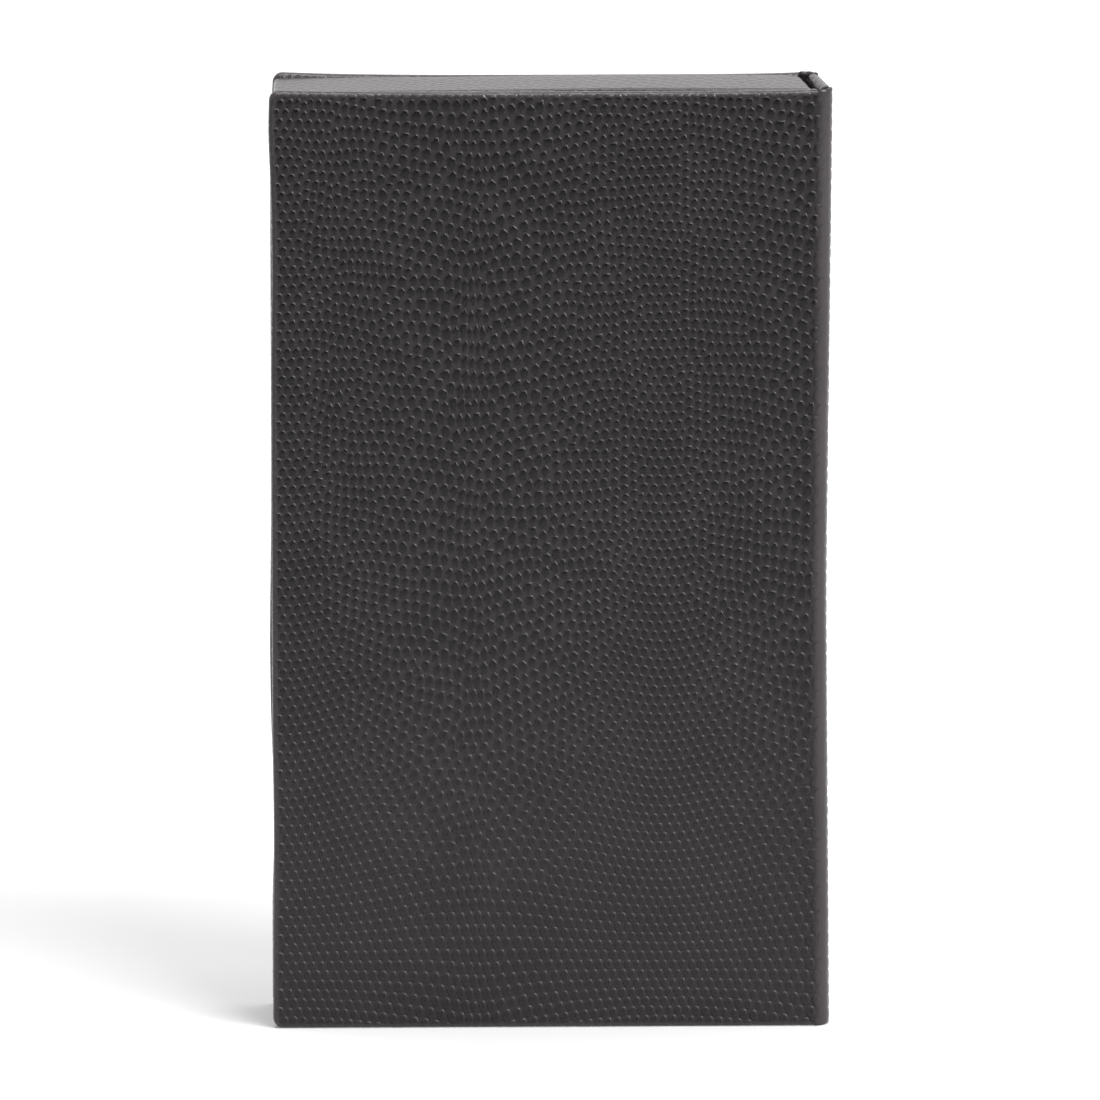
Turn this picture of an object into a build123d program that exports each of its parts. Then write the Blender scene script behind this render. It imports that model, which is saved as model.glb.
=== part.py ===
from build123d import *

import os
from math import cos, radians, sin

# Guest check presenter: a book-style box for the bill, closed and standing upright on its tail edge.
# Frame: +Z up, the lid faces -Y, the spine is at +X, the fore edge at -X and the back cover at +Y.
# The origin is the middle of the footprint, on the surface that the box stands on. Millimetres.

# Overall size, closed
closed_width = 116.0
closed_depth = 21.5
height = 200.0

# Sheet and board stock
leather_thickness = 0.5
cover_board_thickness = 2.4
spine_board_thickness = 1.8
lining_thickness = 0.4
lining_margin_gap = 0.1

# Covers
turn_in_width = 12.0
cover_corner_radius = 2.0
cover_edge_radius = 1.4
least_edge_radius = 0.2
largest_edge_share = 0.45  # of a slab's thickness that one rounded edge may take

# Leather joints and spine
front_joint_radius = 3.5
back_joint_radius = 4.5
joint_lining_thickness = 0.5
spine_lean = 9.0

# Tray
tray_end_square = 0.7
tray_fore_square = 0.8
tray_spine_gap = 1.0
tray_lid_gap = 0.25
tray_wall_board = 3.0
tray_floor_board_thickness = 2.0
tray_back_corner_radius = 3.0
tray_upright_corner_radius = 1.2
tray_pad_thickness = 0.8
tray_pad_gap = 0.2

# Closure: magnets in the rim of the tray's fore wall, steel strips in the lid
magnet_width = 2.0
magnet_depth = 4.0
magnet_length = 15.0
magnet_end_distance = 40.0
strip_thickness = 0.6
strip_width = 3.0
strip_length = 18.0
closure_pocket_gap = 0.1

# Worked out from the sizes above
inner_ply = max(leather_thickness, lining_thickness)
cover_thickness = leather_thickness + cover_board_thickness + inner_ply
spine_thickness = leather_thickness + spine_board_thickness + inner_ply
joint_thickness = leather_thickness + joint_lining_thickness
fore_x = -closed_width / 2
lid_outer_y = -closed_depth / 2
back_outer_y = closed_depth / 2
back_inner_y = back_outer_y - cover_thickness

# The spine leans in towards the back: its outward normal is turned by spine_lean from +X.
lean = radians(spine_lean)
front_joint_centre = Vector(closed_width / 2 - front_joint_radius, lid_outer_y + front_joint_radius)
back_joint_y = back_outer_y - back_joint_radius
spine_outer_offset = (
    cos(lean) * front_joint_centre.X + sin(lean) * front_joint_centre.Y + front_joint_radius
)
back_joint_x = (spine_outer_offset - back_joint_radius - sin(lean) * back_joint_y) / cos(lean)
back_joint_centre = Vector(back_joint_x, back_joint_y)
spine_front_point = front_joint_centre + front_joint_radius * Vector(cos(lean), sin(lean))
spine_back_point = back_joint_centre + back_joint_radius * Vector(cos(lean), sin(lean))
spine_length = (spine_back_point - spine_front_point).length

tray_rim_y = lid_outer_y + cover_thickness + tray_lid_gap
tray_floor_y = back_inner_y - tray_floor_board_thickness
tray_fore_x = fore_x + tray_fore_square
tray_spine_offset = spine_outer_offset - spine_thickness - tray_spine_gap
tray_tail_z = tray_end_square
tray_head_z = height - tray_end_square
wall_thickness = leather_thickness + tray_wall_board + leather_thickness


def block(x, y, z):
    """A box between the given (low, high) pairs."""
    size = Box(x[1] - x[0], y[1] - y[0], z[1] - z[0], align=(Align.MIN, Align.MIN, Align.MIN))
    return Pos(x[0], y[0], z[0]) * size


def edge_rounding(edge_radius, thickness):
    return max(min(edge_radius, largest_edge_share * thickness), least_edge_radius)


def cover_slab(end_x, inset, thickness, edge_radius):
    """A cover's outline at its fore, head and tail sides less an inset, rounded on those three sides."""
    slab = block((fore_x + inset, end_x), (0, thickness), (inset, height - inset))
    fore_corners = slab.edges().filter_by(Axis.Y).group_by(Axis.X)[0]
    slab = fillet(fore_corners, max(cover_corner_radius - inset, least_edge_radius))
    rims = ShapeList()
    for face in slab.faces().filter_by(Axis.Y):
        spine_side = face.edges().filter_by(Axis.Z).group_by(Axis.X)[-1]
        rims += [edge for edge in face.edges() if edge not in spine_side]
    return fillet(rims, edge_rounding(edge_radius, thickness))


def cover_pieces(end_x):
    """Board, leather and inner panel of one cover, with its outer face on y = 0 and its inside towards +Y."""
    whole = cover_slab(end_x, 0, cover_thickness, cover_edge_radius)
    board = cover_slab(
        end_x, leather_thickness, cover_board_thickness, cover_edge_radius - leather_thickness
    )
    board = Pos(0, leather_thickness, 0) * board
    inside_y = leather_thickness + cover_board_thickness
    window = block(
        (fore_x + turn_in_width, end_x),
        (inside_y, cover_thickness),
        (turn_in_width, height - turn_in_width),
    )
    leather = whole - board - window
    panel = block(
        (fore_x + turn_in_width + lining_margin_gap, end_x),
        (inside_y, inside_y + lining_thickness),
        (turn_in_width + lining_margin_gap, height - turn_in_width - lining_margin_gap),
    )
    return board, leather, panel


def lid_place(shape):
    return Pos(0, lid_outer_y, 0) * shape


def back_place(shape):
    return Pos(0, back_outer_y, 0) * mirror(shape, about=Plane.XZ)


def spine_place(shape):
    """Stands a piece made with its outer face on x = 0 and its front end on y = 0 into the leaning spine."""
    return Pos(spine_front_point.X, spine_front_point.Y, 0) * Rot(0, 0, spine_lean) * shape


def spine_slab(inset, thickness, edge_radius):
    """The spine's outline less an inset at head and tail, rounded there, with its outside on x = 0."""
    slab = block((-thickness, 0), (0, spine_length), (inset, height - inset))
    ends = slab.edges().filter_by(Axis.Y)
    return fillet(ends, edge_rounding(edge_radius, thickness))


def spine_pieces():
    """Board, leather and lining of the spine."""
    whole = spine_slab(0, spine_thickness, cover_edge_radius)
    board = spine_slab(
        leather_thickness, spine_board_thickness, cover_edge_radius - leather_thickness
    )
    board = Pos(-leather_thickness, 0, 0) * board
    inside_x = -leather_thickness - spine_board_thickness
    window = block(
        (-spine_thickness, inside_x), (0, spine_length), (turn_in_width, height - turn_in_width)
    )
    leather = whole - board - window
    lining = block(
        (inside_x - lining_thickness, inside_x),
        (0, spine_length),
        (turn_in_width + lining_margin_gap, height - turn_in_width - lining_margin_gap),
    )
    return spine_place(board), spine_place(leather), spine_place(lining)


def joint_shell(centre, radius, thickness, start_angle, turn, z):
    """A strip of leather bent round a joint, between two heights."""
    outside = CenterArc(centre, radius, start_angle, turn)
    inside = CenterArc(centre, radius - thickness, start_angle, turn)
    section = make_face([outside, inside, Line(outside @ 0, inside @ 0), Line(outside @ 1, inside @ 1)])
    return Pos(0, 0, z[0]) * extrude(section, z[1] - z[0])


def joint_pieces(centre, radius, start_angle, turn):
    """Leather of one joint with its ends turned in, and the lining strip between the turn-ins."""
    lining_radius = radius - leather_thickness
    leather = joint_shell(centre, radius, leather_thickness, start_angle, turn, (0, height))
    for z in ((0, turn_in_width), (height - turn_in_width, height)):
        leather += joint_shell(centre, lining_radius, joint_lining_thickness, start_angle, turn, z)
    lining_z = (turn_in_width + lining_margin_gap, height - turn_in_width - lining_margin_gap)
    lining = joint_shell(
        centre, lining_radius, joint_lining_thickness, start_angle, turn, lining_z
    )
    return leather, lining


def tray_plan(inset, front_y, back_y):
    """The tray seen from above, less an inset at its fore and spine sides, and its rear spine corner."""
    offset = tray_spine_offset - inset
    front_x = (offset - sin(lean) * front_y) / cos(lean)
    back_x = (offset - sin(lean) * back_y) / cos(lean)
    fore = tray_fore_x + inset
    outline = make_face(
        Polyline((fore, front_y), (front_x, front_y), (back_x, back_y), (fore, back_y), close=True)
    )
    return outline, Vector(back_x, back_y)


def tray_body(inset, front_y, back_y, corner_radius):
    """The tray as one solid, less an inset on its four sides."""
    outline, corner = tray_plan(inset, front_y, back_y)
    body = Pos(0, 0, tray_tail_z + inset) * extrude(outline, tray_head_z - tray_tail_z - 2 * inset)
    if corner_radius > 0:
        uprights = body.edges().filter_by(Axis.Z)
        body = fillet(uprights.sort_by_distance((corner.X, corner.Y, height / 2))[0], corner_radius)
    return body


def tray_pieces():
    """Boards, leather and pad of the tray."""
    outer = tray_body(0, tray_rim_y, back_inner_y, tray_back_corner_radius)
    fore_corners = outer.edges().filter_by(Axis.Y).group_by(Axis.X)[0]
    outer = fillet(fore_corners, tray_upright_corner_radius)
    core = tray_body(
        leather_thickness,
        tray_rim_y + leather_thickness,
        back_inner_y,
        max(tray_back_corner_radius - leather_thickness, least_edge_radius),
    )
    board_inside = leather_thickness + tray_wall_board
    boards = core - tray_body(board_inside, tray_rim_y, tray_floor_y, 0)
    everywhere = (-closed_width, closed_width)
    wall_y = (tray_rim_y, tray_floor_y)
    floor_board = boards & block(everywhere, (tray_floor_y, back_inner_y), (0, height))
    head_z = tray_head_z - board_inside
    tail_z = tray_tail_z + board_inside
    fore_wall_x = tray_fore_x + board_inside
    head_wall = boards & block(everywhere, wall_y, (head_z, height))
    tail_wall = boards & block(everywhere, wall_y, (0, tail_z))
    fore_wall = boards & block((fore_x, fore_wall_x), wall_y, (tail_z, head_z))
    spine_wall = boards & block((fore_wall_x, closed_width), wall_y, (tail_z, head_z))
    cavity = tray_body(wall_thickness, tray_rim_y, tray_floor_y, 0)
    leather = outer - boards - cavity
    pad = tray_body(
        wall_thickness + tray_pad_gap, tray_floor_y - tray_pad_thickness, tray_floor_y, 0
    )
    return floor_board, head_wall, tail_wall, fore_wall, spine_wall, leather, pad


def closure_blocks(width, depth, length, front_y, gap):
    """The pair of closure blocks near the head and the tail, or their pockets, larger by a gap."""
    centre_x = tray_fore_x + leather_thickness + tray_wall_board / 2
    pair = ShapeList()
    for z in (magnet_end_distance, height - magnet_end_distance):
        x_range = (centre_x - width / 2 - gap, centre_x + width / 2 + gap)
        z_range = (z - length / 2 - gap, z + length / 2 + gap)
        pair.append(block(x_range, (front_y, front_y + depth + gap), z_range))
    return pair


def closure_pieces(fore_wall, lid_board):
    """Magnets let into the tray's fore wall and strips let into the lid board, with their pockets cut."""
    magnet = (magnet_width, magnet_depth, magnet_length, tray_rim_y + leather_thickness)
    lid_board_inside = lid_outer_y + leather_thickness + cover_board_thickness
    strip = (strip_width, strip_thickness, strip_length, lid_board_inside - strip_thickness)
    for pocket in closure_blocks(*magnet, closure_pocket_gap):
        fore_wall -= pocket
    for pocket in closure_blocks(*strip, closure_pocket_gap):
        lid_board -= pocket
    magnets = Compound(children=closure_blocks(*magnet, 0))
    strips = Compound(children=closure_blocks(*strip, 0))
    return fore_wall, lid_board, magnets, strips


def presenter():
    """Every sub-part of the presenter, by name."""
    lid_board, lid_leather, lid_lining = map(lid_place, cover_pieces(front_joint_centre.X))
    back_board, back_leather, infill = map(back_place, cover_pieces(back_joint_centre.X))
    spine_board, spine_leather, spine_lining = spine_pieces()
    front_hinge_leather, front_hinge_lining = joint_pieces(
        front_joint_centre, front_joint_radius, -90, 90 + spine_lean
    )
    back_hinge_leather, back_hinge_lining = joint_pieces(
        back_joint_centre, back_joint_radius, spine_lean, 90 - spine_lean
    )
    floor_board, head_wall, tail_wall, fore_wall, spine_wall, tray_leather, pad = tray_pieces()
    fore_wall, lid_board, magnets, strips = closure_pieces(fore_wall, lid_board)
    return {
        "back_board": back_board,
        "back_cover_leather": back_leather,
        "back_infill_card": infill,
        "back_hinge_leather": back_hinge_leather,
        "back_hinge_lining": back_hinge_lining,
        "spine_board": spine_board,
        "spine_leather": spine_leather,
        "spine_lining": spine_lining,
        "front_hinge_leather": front_hinge_leather,
        "front_hinge_lining": front_hinge_lining,
        "lid_board": lid_board,
        "lid_cover_leather": lid_leather,
        "lid_lining": lid_lining,
        "lid_steel_strips": strips,
        "tray_floor_board": floor_board,
        "tray_head_wall": head_wall,
        "tray_tail_wall": tail_wall,
        "tray_fore_wall": fore_wall,
        "tray_spine_wall": spine_wall,
        "tray_leather": tray_leather,
        "tray_floor_pad": pad,
        "tray_magnets": magnets,
    }


os.makedirs("parts", exist_ok=True)
for name, shape in presenter().items():
    export_step(shape, f"parts/{name}.step")
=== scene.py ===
from math import cos, pi, radians, sin

import bmesh
import bpy
import numpy as np
from mathutils import Matrix, Vector
from mathutils.geometry import delaunay_2d_cdt


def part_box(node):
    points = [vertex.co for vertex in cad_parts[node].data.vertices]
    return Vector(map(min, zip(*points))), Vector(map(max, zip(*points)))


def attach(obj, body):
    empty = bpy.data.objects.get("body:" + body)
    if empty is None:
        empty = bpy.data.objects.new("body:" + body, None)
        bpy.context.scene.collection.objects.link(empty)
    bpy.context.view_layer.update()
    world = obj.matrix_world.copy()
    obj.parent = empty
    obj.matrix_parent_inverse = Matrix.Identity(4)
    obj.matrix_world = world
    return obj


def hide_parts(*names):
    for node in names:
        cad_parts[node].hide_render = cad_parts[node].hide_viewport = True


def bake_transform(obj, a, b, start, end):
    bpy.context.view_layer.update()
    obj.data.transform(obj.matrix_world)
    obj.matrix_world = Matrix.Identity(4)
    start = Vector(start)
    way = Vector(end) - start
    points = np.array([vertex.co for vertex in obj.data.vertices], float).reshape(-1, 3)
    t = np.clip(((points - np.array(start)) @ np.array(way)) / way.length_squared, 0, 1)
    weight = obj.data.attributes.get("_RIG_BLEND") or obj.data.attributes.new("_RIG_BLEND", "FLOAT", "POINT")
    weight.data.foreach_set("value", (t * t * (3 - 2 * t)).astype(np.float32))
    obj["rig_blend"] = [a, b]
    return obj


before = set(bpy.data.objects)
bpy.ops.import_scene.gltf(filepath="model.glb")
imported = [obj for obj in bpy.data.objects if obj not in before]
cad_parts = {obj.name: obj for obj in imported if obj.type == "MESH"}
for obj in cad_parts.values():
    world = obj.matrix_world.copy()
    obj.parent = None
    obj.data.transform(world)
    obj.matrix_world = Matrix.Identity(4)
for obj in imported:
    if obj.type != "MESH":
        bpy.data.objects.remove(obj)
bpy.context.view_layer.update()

# Guest check presenter: a book-style box for the bill. One sheet of lizard-embossed leather covers the
# lid, the spine and the back, and the tray that holds the bill stands on the back cover.
# Metres, +Z up, the lid faces -Y. The box's own sizes are in millimetres until each mesh is made.

mm = 0.001


# ---------------------------------------------------------------------------------------------------------
# Studio: a pale floor that runs out of the view, an even white room and two soft boxes.
# The floor is a plain matt sheet that keeps the box's shadow.

floor_half_width = 6.0
floor_colour = (0.88, 0.88, 0.88, 1.0)
near_glow = 0.14
far_glow = 0.72
glow_reach = 1.1


def plug(links, value, socket):
    """Gives a socket its value, which is a number, a colour or another socket."""
    if isinstance(value, bpy.types.NodeSocket):
        links.new(value, socket)
    else:
        socket.default_value = value


def worked_out(tree, operation, first, second):
    """Two numbers or sockets put together by a sum, a product or the like."""
    node = tree.nodes.new("ShaderNodeMath")
    node.operation = operation
    plug(tree.links, first, node.inputs[0])
    plug(tree.links, second, node.inputs[1])
    return node.outputs[0]


def mapped(tree, value, low, high, to_low, to_high):
    """A value moved from one range to another, and held there."""
    node = tree.nodes.new("ShaderNodeMapRange")
    limits = (("From Min", low), ("From Max", high), ("To Min", to_low), ("To Max", to_high))
    for name, number in (("Value", value), *limits):
        plug(tree.links, number, node.inputs[name])
    return node.outputs["Result"]


def mixed(tree, factor, a, b):
    """Two numbers or sockets mixed."""
    node = tree.nodes.new("ShaderNodeMix")
    for name, value in (("Factor", factor), ("A", a), ("B", b)):
        plug(tree.links, value, node.inputs[name])
    return node.outputs["Result"]


def object_place(tree):
    return tree.nodes.new("ShaderNodeTexCoord").outputs["Object"]


def backdrop_rays(tree, path, *others):
    """1 for rays that look at the backdrop: from the camera, through glass, and of the other kinds named."""
    seen = path.outputs["Is Camera Ray"]
    for kind in ("Is Transmission Ray", *others):
        seen = worked_out(tree, "MAXIMUM", seen, path.outputs[kind])
    return seen


def floor_paper():
    """Matt paper that also glows where it runs out of the lamps' reach: all round to the eye, and behind the
    box to its gloss."""
    paper = bpy.data.materials.new("floor_paper")
    paper.use_nodes = True
    tree = paper.node_tree
    tree.nodes.clear()
    matt = tree.nodes.new("ShaderNodeBsdfDiffuse")
    matt.inputs["Color"].default_value = floor_colour
    glow = tree.nodes.new("ShaderNodeEmission")
    both = tree.nodes.new("ShaderNodeAddShader")
    out = tree.nodes.new("ShaderNodeOutputMaterial")
    path = tree.nodes.new("ShaderNodeLightPath")
    axes = tree.nodes.new("ShaderNodeSeparateXYZ")
    away = tree.nodes.new("ShaderNodeVectorMath")
    away.operation = "LENGTH"
    for part in (axes, away):
        tree.links.new(object_place(tree), part.inputs[0])
    how_far = mixed(tree, path.outputs["Is Glossy Ray"], away.outputs["Value"], axes.outputs["Y"])
    behind = mapped(tree, how_far, 0.0, glow_reach, near_glow, far_glow)
    strength = worked_out(tree, "MULTIPLY", backdrop_rays(tree, path, "Is Glossy Ray"), behind)
    tree.links.new(strength, glow.inputs["Strength"])
    tree.links.new(matt.outputs[0], both.inputs[0])
    tree.links.new(glow.outputs[0], both.inputs[1])
    tree.links.new(both.outputs[0], out.inputs["Surface"])
    return paper


def studio_floor():
    bm = bmesh.new()
    bmesh.ops.create_grid(bm, x_segments=8, y_segments=8, size=floor_half_width)
    mesh = bpy.data.meshes.new("studio_floor")
    bm.to_mesh(mesh)
    bm.free()
    floor = bpy.data.objects.new("studio_floor", mesh)
    bpy.context.scene.collection.objects.link(floor)
    mesh.materials.append(floor_paper())


room_light = 0.17
camera_side = 0.0
up_and_back = (0.0, 0.6, 0.8)


def white_room():
    """White behind the box for gloss and glass, darker towards the camera, and an even fill for the rest."""
    world = bpy.data.worlds.new("white_room")
    bpy.context.scene.world = world
    world.use_nodes = True
    tree = world.node_tree
    background = tree.nodes["Background"]
    background.inputs["Color"].default_value = (1.0, 1.0, 1.0, 1.0)
    way = tree.nodes.new("ShaderNodeTexCoord")
    facing = tree.nodes.new("ShaderNodeVectorMath")
    facing.operation = "DOT_PRODUCT"
    facing.inputs[1].default_value = up_and_back
    tree.links.new(way.outputs["Generated"], facing.inputs[0])
    sides = mapped(tree, facing.outputs["Value"], -0.5, 0.0, camera_side, 1.0)
    path = tree.nodes.new("ShaderNodeLightPath")
    gloss = mixed(tree, path.outputs["Is Glossy Ray"], room_light, sides)
    level = mixed(tree, backdrop_rays(tree, path), gloss, 1.0)
    tree.links.new(level, background.inputs["Strength"])


def aim(thing, place, target, across=(1.0, 0.0, 0.0)):
    """Puts a lamp or camera at a place, looking at a target, with its width as near to across as can be."""
    back = (Vector(place) - Vector(target)).normalized()
    up = back.cross(Vector(across)).normalized()
    turn = Matrix((up.cross(back), up, back)).transposed()
    thing.location = place
    thing.rotation_euler = turn.to_euler()


box_middle = Vector((0.0, 0.0, 0.1))


def soft_box(name, place, width, length, power, across=(1.0, 0.0, 0.0)):
    lamp = bpy.data.lights.new(name, "AREA")
    lamp.shape = "RECTANGLE"
    lamp.size = width
    lamp.size_y = length
    lamp.energy = power
    lamp.color = (1.0, 1.0, 1.0)
    box = bpy.data.objects.new(name, lamp)
    bpy.context.scene.collection.objects.link(box)
    aim(box, place, box_middle, across)


camera_elevation = radians(13.4)
camera_azimuth = radians(-1.1)
camera_distance = 3.96
view_width = 0.229
sensor_width = 36.0


def camera():
    lens = bpy.data.cameras.new("camera")
    lens.sensor_width = sensor_width
    lens.lens = sensor_width * camera_distance / view_width
    lens.clip_end = 50.0
    stand = bpy.data.objects.new("camera", lens)
    bpy.context.scene.collection.objects.link(stand)
    away = Vector((
        sin(camera_azimuth) * cos(camera_elevation),
        -cos(camera_azimuth) * cos(camera_elevation),
        sin(camera_elevation),
    ))
    aim(stand, box_middle + camera_distance * away, box_middle, Vector((0, 0, 1)).cross(away))
    bpy.context.scene.camera = stand


studio_floor()
white_room()
soft_box("overhead_soft_box", (0.0, 0.12, 1.35), 1.1, 0.6, 12.0)
soft_box("strip_soft_box", (0.93, -0.76, 1.37), 1.7, 0.28, 29.0, across=(0.75, 0.1, -0.6))
camera()
bpy.context.scene.view_settings.view_transform = "Standard"


# ---------------------------------------------------------------------------------------------------------
# Cover leather, as the flat hide: bonded leather plate-embossed with lizard scales, cut as one sheet for the
# lid, both joints, the spine and the back, with flaps turned in at the fore edge, head and tail.
# Distances along the sheet (u, from the lid's fore edge round the spine to the back's) and up it (v), in mm.

lid_low, lid_high = (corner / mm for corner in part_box("lid_cover_leather"))
back_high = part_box("back_cover_leather")[1] / mm
front_joint_radius = 3.5
back_joint_radius = 4.5
spine_lean = radians(9.0)
leather_thickness = 0.5
turn_in_width = 12.0
cover_corner_radius = 2.0
cover_edge_radius = 1.4

cover_thickness = lid_high.y - lid_low.y
spine_thickness = 2.8
joint_thickness = 1.0
fore_x = lid_low.x
height = lid_high.z
front_centre = np.array([lid_high.x, lid_low.y + front_joint_radius])
back_centre = np.array([back_high.x, back_high.y - back_joint_radius])
spine_out = np.array([cos(spine_lean), sin(spine_lean)])
spine_start = front_centre + front_joint_radius * spine_out
spine_end = back_centre + back_joint_radius * spine_out

# Where each stretch of the sheet ends, in u
lid_end = lid_high.x - fore_x - cover_corner_radius
front_joint_end = lid_end + front_joint_radius * (pi / 2 + spine_lean)
spine_stop = front_joint_end + float(np.linalg.norm(spine_end - spine_start))
back_joint_end = spine_stop + back_joint_radius * (pi / 2 - spine_lean)
sheet_width = back_joint_end + back_high.x - fore_x - cover_corner_radius
sheet_tail = cover_corner_radius
sheet_head = height - cover_corner_radius
corner_wrap = 2 * (cover_corner_radius - cover_edge_radius) + pi * cover_edge_radius
corner_wrap += cover_thickness - 2 * cover_edge_radius
flap_depth = turn_in_width - cover_corner_radius
edge_wrap = corner_wrap + flap_depth

# The print: rows of scales that arch between straight backbones. The scales are largest and the rows
# steepest beside a backbone, and smallest half way between two.
backbone_u = 40.2
backbone_period = 78.2
steepest_row = radians(12.0)
backbone_blend = 4.5
small_pitch = 1.88
large_pitch = 2.42
pitch_growth = 1.5
backbone_pinch = 0.58
small_row = 1.95
large_row = 2.85
row_growth = 1.7
print_seed = 7


def across_arch(u):
    """1 at a backbone and 0 half way to the next, with the distance to the nearest and the place between."""
    place = ((u - backbone_u) / backbone_period) % 1.0
    distance = np.minimum(place, 1 - place) * backbone_period
    return np.abs(2 * place - 1), distance, place


def scale_pitch(u):
    share, distance, _ = across_arch(u)
    pitch = small_pitch + (large_pitch - small_pitch) * share**pitch_growth
    return pitch - backbone_pinch * np.exp(-((distance / backbone_blend) ** 2))


def row_height(u):
    share, _, _ = across_arch(u)
    return small_row + (large_row - small_row) * share**row_growth


def row_slope(u):
    _, distance, place = across_arch(u)
    return np.tan(steepest_row * np.cos(pi * place)) * np.clip(distance / backbone_blend, 0, 1)


def neighbours(points, reach):
    """Index pairs of the points that share or touch a square of side reach."""
    cell = np.floor(points / reach).astype(int)
    cell -= cell.min(0) - 1
    columns = cell[:, 1].max() + 2
    key = cell[:, 0] * columns + cell[:, 1]
    order = np.argsort(key, kind="stable")
    ordered = key[order]
    first, second = [], []
    for step in (0, 1, columns - 1, columns, columns + 1):
        low = np.searchsorted(ordered, key + step, "left")
        count = np.searchsorted(ordered, key + step, "right") - low
        a = np.repeat(np.arange(len(points)), count)
        within_run = np.arange(count.sum()) - np.repeat(np.cumsum(count) - count, count)
        b = order[np.repeat(low, count) + within_run]
        keep = a < b if step == 0 else slice(None)
        first.append(a[keep])
        second.append(b[keep])
    return np.concatenate(first), np.concatenate(second)


settling_rounds = 30
push_reach = 1.3
push_share = 0.28
row_pull = 0.05
nothing = 1e-9


def settle_scales(points):
    """Pushes scales apart until each has its room, while the rows stay in line."""
    for turn in range(settling_rounds):
        if turn % 3 == 0:
            a, b = neighbours(points, 1.5 * large_pitch)
        step = points[b] - points[a]
        middle = (points[a, 0] + points[b, 0]) / 2
        pitch, row, slope = scale_pitch(middle), row_height(middle) / cos(pi / 6), row_slope(middle)
        along = step[:, 0] / pitch
        up = (step[:, 1] - slope * step[:, 0]) / row
        distance = np.hypot(along, up) + nothing
        push = push_share * np.clip(1 - distance / push_reach, 0, None) / distance
        # The next scale of the same row is about a pitch away, and less than half a row up or down
        beside = (np.abs(along) > 0.55) & (np.abs(along) < 1.45) & (np.abs(up) < 0.43)
        move_u = push * along * pitch
        move_v = (push * up - np.where(beside, row_pull * up, 0)) * row + slope * move_u
        for axis, move in enumerate((move_u, move_v)):
            points[:, axis] += np.bincount(b, move, len(points)) - np.bincount(a, move, len(points))
    return points


scale_jitter = 0.1
slope_steps = 4000


def scale_centres(low, high, wanted=None):
    """Centres of the printed scales between two corners of a hide, or only those that are wanted."""
    rng = np.random.default_rng(print_seed)
    fine = np.linspace(low[0], high[0], slope_steps)
    rise = np.concatenate([[0], np.cumsum(row_slope((fine[1:] + fine[:-1]) / 2) * np.diff(fine))])
    columns = []
    u = low[0]
    while u < high[0]:
        step = 2 * row_height(u)
        lift = np.interp(u, fine, rise) + len(columns) % 2 * step / 2
        v = lift + np.arange(np.ceil((low[1] - lift) / step), (high[1] - lift) / step) * step
        columns.append(np.stack([np.full(len(v), u), v], 1))
        u += scale_pitch(u) / 2
    points = np.concatenate(columns)
    points += rng.normal(size=points.shape) * scale_jitter
    if wanted is not None:
        points = points[wanted(points)]
    return settle_scales(points)


def walk(corners, step):
    """Points along a closed outline, no further apart than step."""
    points = []
    for start, stop in zip(corners, corners[1:] + corners[:1]):
        way = (stop[0] - start[0], stop[1] - start[1])
        count = max(1, int(np.ceil(np.hypot(*way) / step)))
        points += [(start[0] + way[0] * k / count, start[1] + way[1] * k / count) for k in range(count)]
    return points


def arc(centre, radius, start, turn, count=9):
    """Points of an arc, from start degrees through turn degrees."""
    angles = [radians(start + turn * k / (count - 1)) for k in range(count)]
    return [(centre[0] + radius * cos(a), centre[1] + radius * sin(a)) for a in angles]


def within(points, outline):
    """Which points lie inside a closed outline."""
    x, y = points.T
    inside = np.zeros(len(points), bool)
    for (start_x, start_y), (stop_x, stop_y) in zip(outline, outline[1:] + outline[:1]):
        if start_y != stop_y:
            crossing_x = start_x + (stop_x - start_x) * (y - start_y) / (stop_y - start_y)
            inside ^= ((start_y > y) != (stop_y > y)) & (x < crossing_x)
    return inside


# Each scale is cut at a share, in per cent, of the way to its neighbours, then shaped and raised
edge_step = 1.3
scale_share = 47.5
scale_edge_gap = 0.9
ground_depth = 0.39
scale_rim = 0.3
scale_rise = 0.28
scale_crown = 0.12
scale_spread = 0.09
scale_reach = 1.03
scale_oval = 1.17
fold_flattening = 0.94
tail_flattening = 0.1
flap_flattening = 0.6
spine_flattening = 0.7


def shape_scales(scales):
    """Makes each scale's outline an oval, longer along the hide, and some larger than others."""
    rng = np.random.default_rng(print_seed)
    for face in scales:
        middle = face.calc_center_median()
        arms = [vert.co - middle for vert in face.verts]
        size = sum(arm.length for arm in arms) / len(arms) * (1 + rng.normal() * scale_spread)
        for vert, arm in zip(face.verts, arms):
            way = arm.normalized()
            wanted = size / Vector((way.x * scale_oval, way.y / scale_oval, 0)).length
            vert.co = middle + way * min(wanted, arm.length * scale_reach)
        for edge in face.edges:
            edge.smooth = False


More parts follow.
